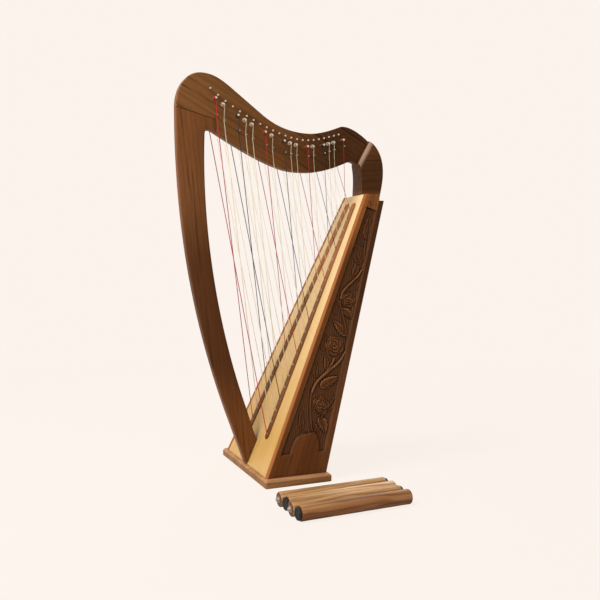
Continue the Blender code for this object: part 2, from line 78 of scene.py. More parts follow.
# %% [markdown]
# ## Colour and nodes
# A colour picked from a picture is an sRGB code, and Blender's sockets want linear values, so
# one function turns a code into them. Another function adds a node with its settings and
# links, so that each material below reads as a short list of what it is made of.

# %% A colour code as linear values
def linear(code):
    values = [int(code[i:i + 2], 16) / 255.0 for i in (1, 3, 5)]
    return tuple(v / 12.92 if v <= 0.04045 else ((v + 0.055) / 1.055) ** 2.4 for v in values) + (1.0,)


print("middle grey #808080 is", round(linear("#808080")[0], 3), "in linear light")


# %% Add a node
def add(tree, kind, settings=None, inputs=None):
    """Add one shader node. An input takes a value, or the socket of another node to link."""
    made = tree.nodes.new("ShaderNode" + kind)
    for name, value in (settings or {}).items():
        setattr(made, name, value)
    for name, value in (inputs or {}).items():
        if isinstance(value, bpy.types.NodeSocket):
            tree.links.new(value, made.inputs[name])
        else:
            made.inputs[name].default_value = value
    return made


def new_material(name):
    made = bpy.data.materials.new(name)
    made.use_nodes = True
    return made, made.node_tree, made.node_tree.nodes["Principled BSDF"]


# %% [markdown]
# ## Wood
# The harp is sawn from an oiled Indian rosewood. Four things make it look like that: broad
# paler and darker zones, growth rings that a plank cuts through, dark streaks about 10 mm wide,
# and fine open pores along the grain. We build them from a ring pattern and stretched noise, in
# a space that is turned so that its X axis lies along the grain. The pores are 0.1 mm wide in
# real wood, which is too fine to show here, so they are drawn four times as wide. Oil leaves
# the pores open, so the wood shines much less than varnish would, except at a low angle.

# %% Small node helpers
def mapped(tree, source, along_mm, across_mm, shift=(0.0, 0.0, 0.0)):
    """Coordinates in which one unit is along_mm along the grain and across_mm across it."""
    scale = (1000.0 / along_mm, 1000.0 / across_mm, 1000.0 / across_mm)
    return add(tree, "Mapping", inputs={"Vector": source, "Scale": scale, "Location": shift}).outputs[0]


def noise(tree, source, detail=2.0, distortion=0.0):
    return add(tree, "TexNoise", inputs={"Vector": source, "Scale": 1.0, "Detail": detail,
                                         "Distortion": distortion}).outputs["Fac"]


def ramp(tree, source, low, high):
    """0 below low, 1 above high, and smooth between."""
    made = add(tree, "MapRange", {"interpolation_type": 'SMOOTHSTEP'},
               {"Value": source, "From Min": low, "From Max": high})
    return made.outputs[0]


def times(tree, first, second):
    return add(tree, "Math", {"operation": 'MULTIPLY'}, {0: first, 1: second}).outputs[0]


def blended(tree, factor, first, second, kind='MIX'):
    mix = add(tree, "Mix", {"data_type": 'RGBA', "blend_type": kind}, {0: factor})
    for number, value in ((6, first), (7, second)):
        if isinstance(value, bpy.types.NodeSocket):
            tree.links.new(value, mix.inputs[number])
        else:
            mix.inputs[number].default_value = value
    return mix.outputs[2]


def grain_space(tree, along):
    """The object's own coordinates, turned so that X lies along the grain."""
    turn = Vector(along).normalized().rotation_difference(Vector((1.0, 0.0, 0.0))).to_euler()
    place = add(tree, "TexCoord").outputs["Object"]
    return add(tree, "Mapping", inputs={"Vector": place, "Rotation": turn}).outputs[0]


def faces(tree, direction):
    """How far a surface faces a direction: 1 squarely, 0 edge on, and negative away from it."""
    normal = add(tree, "TexCoord").outputs["Normal"]
    return add(tree, "VectorMath", {"operation": 'DOT_PRODUCT'},
               {0: normal, 1: Vector(direction).normalized()}).outputs["Value"]


# %% A function for one board's wood
def timber(name, pale, warm, dark, along, ring_mm=7.0, heart=(0.0, 0.05, 0.09), rings=0.12, streaks=0.45,
           roughness=0.42, shine=0.15, wild=5.0, shade=None, ends=None, painted_highlight=None):
    """Wood with its grain along a direction. shade is (axis, waviness, [(place, code), ...]): darker zones along an
    axis, which are painted shade on the neck, the base and the legs. ends is the colour of end grain, and the last
    argument is (direction, code): a painted highlight, paler where a surface faces that way."""
    made, tree, surface = new_material(name)
    grain = grain_space(tree, along)
    shift = tuple(1000.0 * h / s for h, s in zip(heart, (90.0, ring_mm, ring_mm)))
    broad = noise(tree, mapped(tree, grain, 420.0, 42.0, shift), 2.0, 0.5)
    wave = add(tree, "TexWave", {"wave_type": 'RINGS', "rings_direction": 'X'},
               {"Vector": mapped(tree, grain, 90.0, ring_mm, shift), "Scale": 0.314, "Distortion": wild,
                "Detail": 3.0, "Detail Scale": 0.7, "Detail Roughness": 0.6}).outputs["Fac"]
    figure = noise(tree, mapped(tree, grain, 260.0, 6.0, shift), 4.0, 1.2)
    fibre = noise(tree, mapped(tree, grain, 45.0, 1.8, shift))
    dashes = ramp(tree, noise(tree, mapped(tree, grain, 7.0, 0.45, shift), 1.0), 0.62, 0.70)
    color = blended(tree, ramp(tree, broad, 0.36, 0.66), linear(pale), linear(warm))
    color = blended(tree, times(tree, ramp(tree, wave, 0.45, 1.0), rings), color, linear(dark))
    color = blended(tree, times(tree, ramp(tree, figure, 0.56, 0.72), streaks), color, linear(dark))
    color = blended(tree, ramp(tree, fibre, 0.25, 0.75), blended(tree, 0.22, color, linear(dark)), color)
    color = blended(tree, times(tree, dashes, 0.35), color, linear(dark))
    if shade:
        axis, wavy, stops = shade
        place = add(tree, "SeparateXYZ", inputs={0: add(tree, "TexCoord").outputs["Object"]}).outputs[axis]
        place = add(tree, "Math", {"operation": 'MULTIPLY_ADD'}, {0: broad, 1: wavy, 2: place}).outputs[0]
        for (start, code), (end, other) in zip(stops, stops[1:]):
            tint = linear(code) if start == stops[0][0] else tint
            tint = blended(tree, ramp(tree, place, start + wavy / 2, end + wavy / 2), tint, linear(other))
        color = blended(tree, 1.0, color, tint, 'MULTIPLY')
    if ends:
        facing = add(tree, "Math", {"operation": 'ABSOLUTE'}, {0: faces(tree, along)}).outputs[0]
        color = blended(tree, ramp(tree, facing, 0.80, 0.98), color, linear(ends))
    # Painted highlight: surfaces that face the given direction, on either face of the board, are coloured paler.
    if painted_highlight:
        (x, y, z), code = painted_highlight
        for way in (-1.0, 1.0):
            highlight_mask = ramp(tree, faces(tree, (x, way * y, z)), 0.88, 1.0)
            color = blended(tree, times(tree, highlight_mask, 0.55), color, linear(code))
    rough = add(tree, "MapRange", inputs={"Value": fibre, "To Min": roughness + 0.08, "To Max": roughness - 0.05})
    height = add(tree, "Math", {"operation": 'SUBTRACT'}, {0: fibre, 1: dashes})
    bump = add(tree, "Bump", inputs={"Strength": 0.3, "Distance": 0.0002, "Height": height.outputs[0]})
    tree.links.new(color, surface.inputs["Base Color"])
    tree.links.new(rough.outputs[0], surface.inputs["Roughness"])
    tree.links.new(bump.outputs[0], surface.inputs["Normal"])
    surface.inputs["IOR"].default_value = 1.35
    surface.inputs["Specular IOR Level"].default_value = shine
    return made


# %% The boards that the harp is made of
UP_FRONT = (FRONT_SLOPE, 0.0, 1.0)
# Painted shade: the neck is coloured darker towards its right end, away from the light on the left.
neck_wood = timber("oiled_rosewood_neck", "#80552F", "#79502C", "#34190B", (0.88, 0.0, -0.48),
                   heart=(0.0, 0.02, -0.62), ring_mm=12.0, streaks=1.0, rings=0.2, wild=8.0,
                   shade=("X", 0.08, [(-0.16, "#FFFFFF"), (-0.02, "#F2ECE4"), (0.16, "#A3978A")]))
pillar_wood = timber("oiled_rosewood_pillar", "#80522E", "#784A28", "#34190B", (0.10, 0.0, -0.99),
                     heart=(0.0, 0.03, 0.22), ring_mm=9.0, streaks=0.55,
                     shade=("Z", 0.08, [(0.10, "#EFE8D8"), (0.24, "#B4A696"), (0.42, "#B6AA9C"), (0.62, "#FAFAFA")]))
# The shoulder's rounded slope gets a painted highlight where it faces up, to the left and outwards.
shoulder_wood = timber("oiled_rosewood_shoulder", "#744524", "#643C1E", "#2C170B", (1.0, 0.0, 0.06),
                       heart=(0.0, 0.04, -0.60), ring_mm=10.0, streaks=0.8, rings=0.25, roughness=0.34,
                       painted_highlight=((-0.42, 0.80, 0.42), "#B49A84"),
                       shade=("Z", 0.01, [(0.604, "#FFFFFF"), (0.614, "#BCBCA8"), (0.66, "#C2C4B4"),
                                          (0.71, "#E2E4E2")]))
block_wood = timber("oiled_rosewood_block", "#946034", "#744520", "#3A200D", (0.3, 0.0, 1.0), streaks=0.7)
back_wood = timber("oiled_rosewood_back", "#643C20", "#563118", "#27140A", (0.3066, 0.0, 1.0),
                   heart=(0.0, 0.0, 0.14), shade=("Z", 0.02, [(0.20, "#FFFFFF"), (0.32, "#D4D4CE")]))
rib_wood = timber("oiled_rosewood_ribs", "#AF7144", "#965E34", "#462612", UP_FRONT, ring_mm=4.0,
                  shade=("Z", 0.02, [(0.20, "#AEA27E"), (0.37, "#C2BEA4"), (0.46, "#FFFFF4")]))
# Painted shade: below the top bevel, the base's sides are coloured darker than the lit bevel.
base_wood = timber("oiled_rosewood_base", "#B98A60", "#A4754C", "#583822", (1.0, 0.0, 0.03),
                   heart=(0.0, 0.05, 0.05), streaks=0.9, rings=0.3,
                   shade=("Z", 0.0006, [(0.0112, "#CCC6B8"), (0.0124, "#FFFFFF")]))
# Painted shade: each leg is coloured darker towards its underside.
LEG_PAINTED_SHADE = ("Z", 0.003, [(0.001, "#745E50"), (0.009, "#BEA896"), (0.018, "#FFFFFF")])
leg_wood = timber("oiled_shisham_legs", "#DAB286", "#B48856", "#6E4628", (1.0, 0.037, 0.0), ring_mm=10.0,
                  heart=(0.0, 0.33, 0.020), wild=16.0, streaks=0.45, rings=0.55, shade=LEG_PAINTED_SHADE, ends="#5C3C2C")
# Leg 4, the nearest, is redder, which is its wood, and darker, which is painted shade.
red_leg_wood_with_painted_shade = timber("oiled_shisham_red_leg_painted_shade", "#B8885C", "#966640", "#50301C", (1.0, 0.037, 0.0), ring_mm=10.0,
                      heart=(0.0, 0.33, 0.020), wild=16.0, streaks=0.45, rings=0.55, shade=LEG_PAINTED_SHADE, ends="#4C3426")
inner_wood = timber("bare_softwood_inside", "#C9A878", "#B79463", "#8A6A42", (0.0, 1.0, 0.0), roughness=0.6)
print("wood for", len([m for m in bpy.data.materials if "wood" in m.name or "shisham" in m.name]), "kinds of board")

# %% [markdown]
# ## Spruce
# The soundboard is a quarter-sawn softwood. Its yearly lines run straight up the board, here
# about 2 mm apart, under a clear satin lacquer that turns it golden.

# %% Spruce under clear lacquer
def lacquered_spruce():
    made, tree, surface = new_material("lacquered_spruce")
    grain = grain_space(tree, UP_FRONT)
    lines = add(tree, "TexWave", {"wave_type": 'BANDS', "bands_direction": 'Y', "wave_profile": 'SAW'},
                {"Vector": mapped(tree, grain, 400.0, 2.2), "Scale": 0.159, "Distortion": 1.6, "Detail": 2.0,
                 "Detail Scale": 0.4}).outputs["Fac"]
    broad = noise(tree, mapped(tree, grain, 160.0, 22.0), 3.0)
    fibre = noise(tree, mapped(tree, grain, 40.0, 0.8))
    color = blended(tree, ramp(tree, lines, 0.55, 1.0), linear("#DEC08E"), linear("#CCA670"))
    color = blended(tree, ramp(tree, broad, 0.35, 0.75), color, linear("#D4B27E"))
    # Painted shade: the board is coloured darker towards its foot, in the shade of the pillar and away from the light
    # above.
    height = add(tree, "SeparateXYZ", inputs={0: add(tree, "TexCoord").outputs["Object"]}).outputs["Z"]
    color = blended(tree, ramp(tree, height, 0.54, 0.08), color, linear("#DECFA8"), 'MULTIPLY')
    bump = add(tree, "Bump", inputs={"Strength": 0.15, "Distance": 0.0001, "Height": fibre})
    tree.links.new(color, surface.inputs["Base Color"])
    tree.links.new(bump.outputs[0], surface.inputs["Normal"])
    surface.inputs["Roughness"].default_value = 0.36
    surface.inputs["Specular IOR Level"].default_value = 0.25
    return made


spruce = lacquered_spruce()
print("spruce lines every 2.2 mm")

# %% [markdown]
# ## Carved rosewood
# A carver cuts the ground away around the leaves and leaves it rough. The material colours that ground
# darker than the raised work, paints shade into the creases, and paints a highlight on the ridges. The panel
# that we build below stores three numbers at each of its points: how deep the ground is, how far a point lies
# in a crease (or, below zero, on a ridge), and whether it belongs to the redder strip along the panel's edge.
# The material reads them.

# %% Read what the panel stores
def carved_timber():
    made = timber("carved_rosewood", "#6C3E1B", "#5E3415", "#2A1509", UP_FRONT, heart=(0.0, 0.06, 0.10),
                  ring_mm=9.0, streaks=0.35, roughness=0.45)
    tree = made.node_tree
    surface = tree.nodes["Principled BSDF"]
    ground, crease, edging = (add(tree, "Attribute", {"attribute_name": name}).outputs["Fac"]
                              for name in ("ground", "crease", "edging"))
    color = surface.inputs["Base Color"].links[0].from_socket
    color = blended(tree, edging, color, linear("#95582A"))
    # The cut-away ground, and the strip along the back edge above 150 mm, are coloured darker than the raised work.
    color = blended(tree, times(tree, ground, 0.6), color, linear("#402917"))
    # Painted shade: creases are coloured nearly black.
    color = blended(tree, times(tree, ramp(tree, crease, 0.15, 1.3), 0.85), color, linear("#100804"))
    # Painted highlight: ridges, where crease is below zero, are coloured paler.
    color = blended(tree, times(tree, ramp(tree, crease, -0.2, -1.3), 0.4), color, linear("#A47850"))
    tree.links.new(color, surface.inputs["Base Color"])
    return made


carved_wood = carved_timber()
print("carved wood reads the panel's ground, crease and edging")

# %% [markdown]
# ## Nickel, nylon and rubber
# The pins are steel, drawn, cut and nickel plated, with a soft shine. Strings are extruded
# nylon: clear ones for most notes, red for C and black for F, so that a player can find the
# place. The legs' feet are moulded rubber, which is matt and a little uneven.

# %% Small materials
def plated_nickel(name, code, roughness):
    made, tree, surface = new_material(name)
    place = add(tree, "TexCoord").outputs["Object"]
    marks = add(tree, "TexNoise", inputs={"Vector": place, "Scale": 900.0, "Detail": 2.0}).outputs["Fac"]
    rough = add(tree, "MapRange", inputs={"Value": marks, "To Min": roughness - 0.08, "To Max": roughness + 0.08})
    tree.links.new(rough.outputs[0], surface.inputs["Roughness"])
    surface.inputs["Base Color"].default_value = linear(code)
    surface.inputs["Metallic"].default_value = 1.0
    return made


def extruded_nylon(name, code, other, clearness=0.0):
    """The colour changes a little every few centimetres, as handled nylon does."""
    made, tree, surface = new_material(name)
    place = add(tree, "TexCoord").outputs["Object"]
    patches = add(tree, "TexNoise", inputs={"Vector": place, "Scale": 35.0, "Detail": 2.0}).outputs["Fac"]
    tree.links.new(blended(tree, patches, linear(code), linear(other)), surface.inputs["Base Color"])
    surface.inputs["Roughness"].default_value = 0.40
    surface.inputs["IOR"].default_value = 1.53
    surface.inputs["Specular IOR Level"].default_value = 0.3
    surface.inputs["Transmission Weight"].default_value = clearness
    return made


def moulded_rubber():
    made, tree, surface = new_material("moulded_black_rubber")
    place = add(tree, "TexCoord").outputs["Object"]
    skin = add(tree, "TexNoise", inputs={"Vector": place, "Scale": 1400.0, "Detail": 3.0}).outputs["Fac"]
    dust = add(tree, "TexNoise", inputs={"Vector": place, "Scale": 160.0, "Detail": 3.0}).outputs["Fac"]
    color = blended(tree, ramp(tree, dust, 0.45, 0.8), linear("#131412"), linear("#30302C"))
    bump = add(tree, "Bump", inputs={"Strength": 0.3, "Distance": 0.0001, "Height": skin})
    tree.links.new(color, surface.inputs["Base Color"])
    tree.links.new(bump.outputs[0], surface.inputs["Normal"])
    surface.inputs["Roughness"].default_value = 0.72
    surface.inputs["Specular IOR Level"].default_value = 0.25
    return made


nickel = plated_nickel("nickel_plated_steel", "#D0C8BA", 0.32)
dull_nickel = plated_nickel("tarnished_nickel", "#9C9284", 0.42)
rubber = moulded_rubber()
nylon = {"clear": extruded_nylon("clear_nylon", "#F2EAD2", "#E4D8B8", clearness=0.65),
         "red": extruded_nylon("red_nylon", "#B00C1C", "#980A18"),
         "black": extruded_nylon("black_nylon", "#101218", "#0A0B0E")}
print("nylon in", ", ".join(nylon))

# %% [markdown]
# ## Dress the CAD nodes
# Many nodes already have the right shape, and only need softer edges and their wood. Weld
# joins the points that the file format splits, and Bevel then rounds each sharp edge by the
# width that a hand with sandpaper leaves.

# %% Round the edges and hand out the wood
def dress(name, wood, round_mm, segments=3, angle=32):
    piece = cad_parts[name]
    for slot in piece.material_slots:
        slot.material = wood
    weld = piece.modifiers.new("weld", 'WELD')
    weld.merge_threshold = 0.00001
    bevel = piece.modifiers.new("round", 'BEVEL')
    bevel.width = round_mm / 1000.0
    bevel.segments = segments
    bevel.limit_method = 'ANGLE'
    bevel.angle_limit = math.radians(angle)
    bevel.harden_normals = False
    return piece


for name, wood, round_mm in (
        ("back_panel", back_wood, 1.0), ("soundboard", spruce, 0.3),
        ("string_rib_naturals", rib_wood, 0.3), ("string_rib_accidentals", rib_wood, 0.3),
        ("top_block", block_wood, 0.8), ("bottom_block", inner_wood, 0.5)):
    dress(name, wood, round_mm)
pins = [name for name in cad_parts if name.startswith("tuning_pin")]
for name in pins:
    dress(name, nickel, 0.25, segments=2, angle=50)
print("dressed 6 boards and", len(pins), "tuning pins")


# %% [markdown]
# ## Neck and pillar
# Both are sawn from a thick board to a curved outline, and their edges are rounded with a
# router. We trace the same outline as the CAD model with more steps, then stack copies of it
# from one face to the other, each drawn in a little, so the edge turns through a quarter
# circle. Edges at a glued joint are only eased by 0.6 mm, which leaves a fine dark line.

# %% Outline tools
def trace(stretches, steps):
    points = []
    for stretch in stretches:
        knots = [Vector(point) for point in stretch]
        points += interpolate_bezier(*knots, steps + 1)[:-1] if len(knots) == 4 else [knots[0]]
    points.append(Vector(stretches[-1][-1]))
    return [(point.x, point.y) for point in points]


def drawn_in(outline, crisp, depth):
    """The outline moved in by a depth, but only a little along its crisp edges."""
    eased = min(depth, 0.0006)
    points = [Vector(point) for point in outline]
    count = len(points)
    turn = sum(points[i - 1].x * points[i].y - points[i].x * points[i - 1].y for i in range(count))
    way = 1.0 if turn > 0.0 else -1.0
    normals = []
    for i in range(count):
        step = (points[(i + 1) % count] - points[i]).normalized()
        normals.append(way * Vector((-step.y, step.x)))
    moved = []
    for i in range(count):
        a, b = normals[i - 1], normals[i]
        depth_a = eased if (i - 1) % count in crisp else depth
        depth_b = eased if i in crisp else depth
        cross = a.x * b.y - a.y * b.x
        if abs(cross) < (0.0005 if depth_a == depth_b else 0.3):
            step = (a + b).normalized() * min(depth_a, depth_b)
        else:
            step = Vector((depth_a * b.y - depth_b * a.y, a.x * depth_b - b.x * depth_a)) / cross
        moved.append(tuple(points[i] + step))
    return moved


# %% Mesh tools
def loft(bm, rings, ends=True):
    made = [[bm.verts.new(point) for point in ring] for ring in rings]
    for low, high in zip(made, made[1:]):
        for i in range(len(low)):
            j = (i + 1) % len(low)
            bm.faces.new((low[i], low[j], high[j], high[i]))
    if ends:
        bm.faces.new(list(reversed(made[0])))
        bm.faces.new(made[-1])


def piece_from(bm, name, finish, body, replaced=(), sharp=40):
    """Finish a mesh as a piece that rides on a body and may stand for CAD nodes."""
    bmesh.ops.recalc_face_normals(bm, faces=bm.faces)
    mesh = bpy.data.meshes.new(name)
    bm.to_mesh(mesh)
    bm.free()
    mesh.shade_smooth()
    mesh.set_sharp_from_angle(angle=math.radians(sharp))
    mesh.materials.append(finish)
    made = bpy.data.objects.new(name, mesh)
    bpy.context.scene.collection.objects.link(made)
    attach(made, body)
    if replaced:
        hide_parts(*replaced)
    return made


def board_in(bm, outline, half, radius, crisp):
    """Put a board into a mesh: its outline, half its thickness and the rounding of its edges."""
    steps = 5
    rings = []
    for way in (-1, 1):
        for i in range(steps + 1):
            angle = math.pi / 2 * (i if way == 1 else steps - i) / steps
            inset = radius * (1.0 - math.cos(angle))
            y = way * (half - radius + radius * math.sin(angle))
            rings.append([(x, y, z) for x, z in drawn_in(outline, crisp, inset)])
    loft(bm, rings)


def rounded_board(name, outline, half, radius, crisp, finish, replaced):
    bm = bmesh.new()
    board_in(bm, outline, half, radius, crisp)
    return piece_from(bm, name, finish, "harp", replaced)


# %% Saw and round the neck
NECK_CORNER = (-0.131, 0.745)
NECK_TOP = (
    ((-0.2145, 0.7648), (-0.2145, 0.8096), (-0.1899, 0.8385), (-0.1595, 0.8385)),
    ((-0.1595, 0.8385), (-0.1385, 0.8385), (-0.1225, 0.8321), (-0.0973, 0.8137)),
    ((-0.0973, 0.8137), (-0.0277, 0.7628)),
    ((-0.0277, 0.7628), (0.0014, 0.7416), (0.0352, 0.7304), (0.0767, 0.7304)),
    ((0.0767, 0.7304), (0.1031, 0.7304), (0.1340, 0.7416), (0.1532, 0.7496)),
    ((0.1532, 0.7496), (0.1710, 0.7571), (0.2010, 0.7430), (0.2255, 0.7230)))
NECK_BOTTOM = (
    ((0.1953, 0.6711), (0.1903, 0.6746), (0.1849, 0.6765), (0.1801, 0.6753)),
    ((0.1801, 0.6753), (0.1636, 0.6712), (0.1155, 0.6392), (0.0374, 0.6469)),
    ((0.0374, 0.6469), (-0.0062, 0.6511), (-0.0747, 0.6861), (-0.1307, 0.7171)))
neck_top = trace(NECK_TOP, 20)
neck_outline = neck_top + trace(NECK_BOTTOM, 20) + [(NECK_CORNER[0] + GAP, NECK_CORNER[1] + GAP)]
neck = rounded_board("neck_board", neck_outline, 0.011, 0.003,
                     {len(neck_top) - 1, len(neck_outline) - 2, len(neck_outline) - 1},
                     neck_wood, ["neck"])
print("neck outline has", len(neck_outline), "points")

# %% Saw and round the pillar
PILLAR_OUTER = (
    ((-0.2145, 0.7645), (-0.2145, 0.7570)),
    ((-0.2145, 0.7570), (-0.2144, 0.5125), (-0.1753, 0.3107), (-0.1031, 0.1138)),
    ((-0.1031, 0.1138), (-0.0684, 0.0185)))
PILLAR_INNER = (
    ((-0.1310, 0.7173), (-0.1405, 0.7235), (-0.1545, 0.7285), (-0.1545, 0.7120)),
    ((-0.1545, 0.7120), (-0.1618, 0.5099), (-0.1259, 0.3061), (-0.0658, 0.1364)),
    ((-0.0658, 0.1364), (-0.0411, 0.0672)))
foot_front = (front_x(0.0185) - 3 * GAP, 0.0185)
foot_back = (front_x(0.0665) - 3 * GAP, 0.0665)
inner_edge = trace(PILLAR_INNER, 24)[:-1] + [foot_back, foot_front]
outer_edge = list(reversed(trace(PILLAR_OUTER, 24)))
pillar_outline = [NECK_CORNER] + inner_edge + outer_edge
pillar = rounded_board("pillar_post", pillar_outline, 0.011, 0.003,
                       {0, pillar_outline.index(foot_back), len(pillar_outline) - 1},
                       pillar_wood, ["pillar"])
print("pillar outline has", len(pillar_outline), "points")

# %% [markdown]
# ## The shoulder
# The shoulder is a block twice as thick as the neck. Where they meet, it falls in a rounded
# slope to the neck's face. We slice the flat board parallel to the seam, and then bring each
# slice's points inwards until they follow a quarter of an ellipse.

# %% Saw the shoulder and round its slope
def fall_to_seam(bm, head, down, reach, low, high):
    away = Vector((-down.y, down.x))
    for step in range(1, 11):
        distance = reach * (1.0 - math.cos(math.pi / 2 * step / 10))
        corner = head + away * distance
        bmesh.ops.bisect_plane(bm, geom=bm.verts[:] + bm.edges[:] + bm.faces[:],
                               plane_co=(corner.x, 0.0, corner.y), plane_no=(away.x, 0.0, away.y))
    for vert in bm.verts:
        part = ((vert.co.x - head.x) * away.x + (vert.co.z - head.y) * away.y) / reach
        part = min(max(part, 0.0), 1.0)
        vert.co.y *= (low + (high - low) * math.sqrt(1.0 - (1.0 - part) ** 2)) / high


SHOULDER_OUTER = (
    ((0.2255, 0.7230), (0.2449, 0.7102), (0.2570, 0.6897), (0.2588, 0.6616)),
    ((0.2588, 0.6616), (0.2605, 0.6341), (0.2527, 0.6098), (0.2494, 0.5910)))
SHOULDER_INNER = (((0.2008, 0.6003), (0.2025, 0.6290), (0.2040, 0.6590), (0.1953, 0.6711)),)
head, heel = Vector(SHOULDER_OUTER[0][0]), Vector(SHOULDER_INNER[0][3])
down = (heel - head).normalized()
outer_side = [(x, z) for x, z in trace(SHOULDER_OUTER, 20)]
inner_side = [(x, z) for x, z in trace(SHOULDER_INNER, 16)]
seat = [(0.248, 0.5863), (0.2293, 0.5863), (0.2293, BOX_TOP + GAP)]
shoulder_outline = outer_side + seat + inner_side
shoulder_outline[0] = tuple(head + Vector((-down.y, down.x)) * GAP)
shoulder_outline[-1] = tuple(heel + Vector((-down.y, down.x)) * GAP)
first_seat, last = len(outer_side), len(shoulder_outline) - 1
bm = bmesh.new()
board_in(bm, shoulder_outline, 0.0215, 0.003, {last, *range(first_seat - 1, first_seat + 3)})
fall_to_seam(bm, head, down, 0.0150, 0.0116, 0.0215)
piece_from(bm, "shoulder_block", shoulder_wood, "harp", ["shoulder"], sharp=50)
print("shoulder outline has", len(shoulder_outline), "points")

# %% [markdown]
# ## The base
# The base is one plate with a bevel round its top and rounded corners. Stacked rounded
# rectangles make it: each ring has the same points, so the sides close by themselves.

# %% A plate with rounded corners
def rounded_rectangle(half_x, half_y, radius, z):
    ring = []
    for i, (cx, cy) in enumerate(((1, 1), (-1, 1), (-1, -1), (1, -1))):
        for k in range(7):
            angle = math.pi / 2 * (i + k / 6)
            ring.append((cx * (half_x - radius) + radius * math.cos(angle),
                         cy * (half_y - radius) + radius * math.sin(angle), z))
    return ring


bm = bmesh.new()
loft(bm, [rounded_rectangle(0.0725 - inset, 0.1465 - inset, 0.0045 - 0.4 * inset, z)
          for z, inset in ((0.0, 0.0006), (0.0006, 0.0), (0.0114, 0.0), (0.0122, 0.0004), (0.0154, 0.0032),
                           (0.0160, 0.0044))])
piece_from(bm, "base_board", base_wood, "harp", ["base_plate"], sharp=30)
print("base of 145 x 293 x 16 mm")

# %% [markdown]
# ## Where the strings run
# Each string starts on its tuning pin with a few turns, bends over a bridge pin that sets its
# sounding length, crosses to the other side, and goes through an eyelet in its rib. The pins
# are 16 mm apart in the bass and 12 mm in the treble. Octaves are easy to see: every seventh
# natural is a C, and black keys are missing after E and B.

# %% The places of pins and eyes
PIN_ROW = (
    ((-0.1436, 0.8069), (-0.0930, 0.7640), (0.0100, 0.7143), (0.0640, 0.7143)),
    ((0.0640, 0.7143), (0.0950, 0.7143), (0.1220, 0.7246), (0.1492, 0.7323)))
row = trace(PIN_ROW, 24)


def pin_place(index, drop):
    x = -0.1436 + 0.0163 * index - 0.000113 * index * index
    for (x0, z0), (x1, z1) in zip(row, row[1:]):
        if x <= x1:
            break
    return x, z0 + (z1 - z0) * (x - x0) / (x1 - x0) - drop


def string_colour(kind, index):
    """C and C sharp are red, F and F sharp are black. The lowest natural is a C."""
    return {0: "red", 3: "black"}.get(int(index) % 7, "clear")


strings = []
for i in range(22):
    strings.append(("natural", float(i), 1, pin_place(i, 0.0)))
for i in range(22):
    if i % 7 in (0, 1, 3, 4, 5):
        strings.append(("accidental", i + 0.5, -1, pin_place(i + 0.5, 0.015)))
print(len(strings), "strings, from", strings[0][3], "to", strings[-1][3])


def bridge_place(kind, index, pin):
    drop = 0.034 - 0.021 * index / 22 + (0.010 if kind == "natural" else 0.0)
    return pin[0] + 0.004, pin[1] - drop


def eye(index, side):
    z = 0.088 + 0.024 * index - 0.000065 * index * index
    return Vector((front_x(z) - 0.002 * math.hypot(1.0, FRONT_SLOPE), side * (0.0601 - 0.0745 * z), z))


# %% [markdown]
# ## Strings
# A string is a curve with a round bevel, which keeps it smooth at any zoom. Its radius goes
# from 0.9 mm in the bass to 0.5 mm in the treble. The turns on the pin are wound in a
# helix, and a short end sticks out where it was cut.

# %% Draw every string as a curve
def string_path(kind, index, side, pin):
    radius = 0.00090 - 0.00040 * index / 22
    wind = 0.0026 + radius
    per_turn = 24
    path = [Vector((pin[0] + wind + 0.0012, side * 0.0188, pin[1] + 0.0030))]
    for i in range(2 * per_turn, -1, -1):
        angle = 2.0 * math.pi * i / per_turn
        path.append(Vector((pin[0] + wind * math.cos(angle), side * (0.025 - 0.0021 * i / per_turn),
                            pin[1] + wind * math.sin(angle))))
    bridge_x, bridge_z = bridge_place(kind, index, pin)
    path.append(Vector((bridge_x - 0.0015 - radius, side * 0.025, bridge_z)))
    mouth = eye(index, -side)
    return path + [mouth - 0.001 * INWARD, mouth + 0.010 * INWARD], radius


curves = {}
for kind, index, side, pin in strings:
    colour = string_colour(kind, index)
    key = "%s_strings_%s" % (kind, colour)
    if key not in curves:
        curves[key] = bpy.data.curves.new(key, 'CURVE')
        curves[key].dimensions = '3D'
        curves[key].bevel_depth = 1.0
        curves[key].bevel_resolution = 2
        curves[key].use_fill_caps = True
        curves[key].materials.append(nylon[colour])
    path, radius = string_path(kind, index, side, pin)
    spline = curves[key].splines.new('POLY')
    spline.points.add(len(path) - 1)
    spline.use_smooth = True
    for point, place in zip(spline.points, path):
        point.co = (*place, 1.0)
        point.radius = radius
for key, curve in curves.items():
    made = bpy.data.objects.new(key, curve)
    bpy.context.scene.collection.objects.link(made)
    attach(made, "harp")
    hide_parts(key.split("_")[0] + "_strings")
print("string groups:", ", ".join(sorted(curves)))


# %% [markdown]
# ## Anchor strips, bridge pins and eyelets
# Behind the soundboard each row of strings ends in a strip that takes the pull. Small nickel
# pins stand in the neck below the tuning pins, and a little metal eyelet lines each hole, so
# that the string doesn't saw into the wood. All of these are turned shapes: a profile of
# distances and radii, spun about an axis.

# %% Turn a profile about an axis
def turned(bm, profile, sides, start, along, ends=True):
    turn = Vector((0.0, 0.0, 1.0)).rotation_difference(Vector(along))
    rings = []
    for distance, radius in profile:
        ring = []
        for i in range(sides):
            angle = 2.0 * math.pi * i / sides
            ring.append(turn @ Vector((radius * math.cos(angle), radius * math.sin(angle), distance)) + Vector(start))
        rings.append(ring)
    loft(bm, rings, ends)


# %% Bridge pins
bm = bmesh.new()
for kind, index, side, pin in strings:
    x, z = bridge_place(kind, index, pin)
    turned(bm, ((0.0, 0.0015), (0.0203, 0.0015), (0.0210, 0.0013), (0.0214, 0.0008)), 16,
           (x, side * 0.006, z), (0.0, side, 0.0))
piece_from(bm, "bridge_pins", dull_nickel, "harp")
print("one bridge pin under each of", len(strings), "tuning pins")

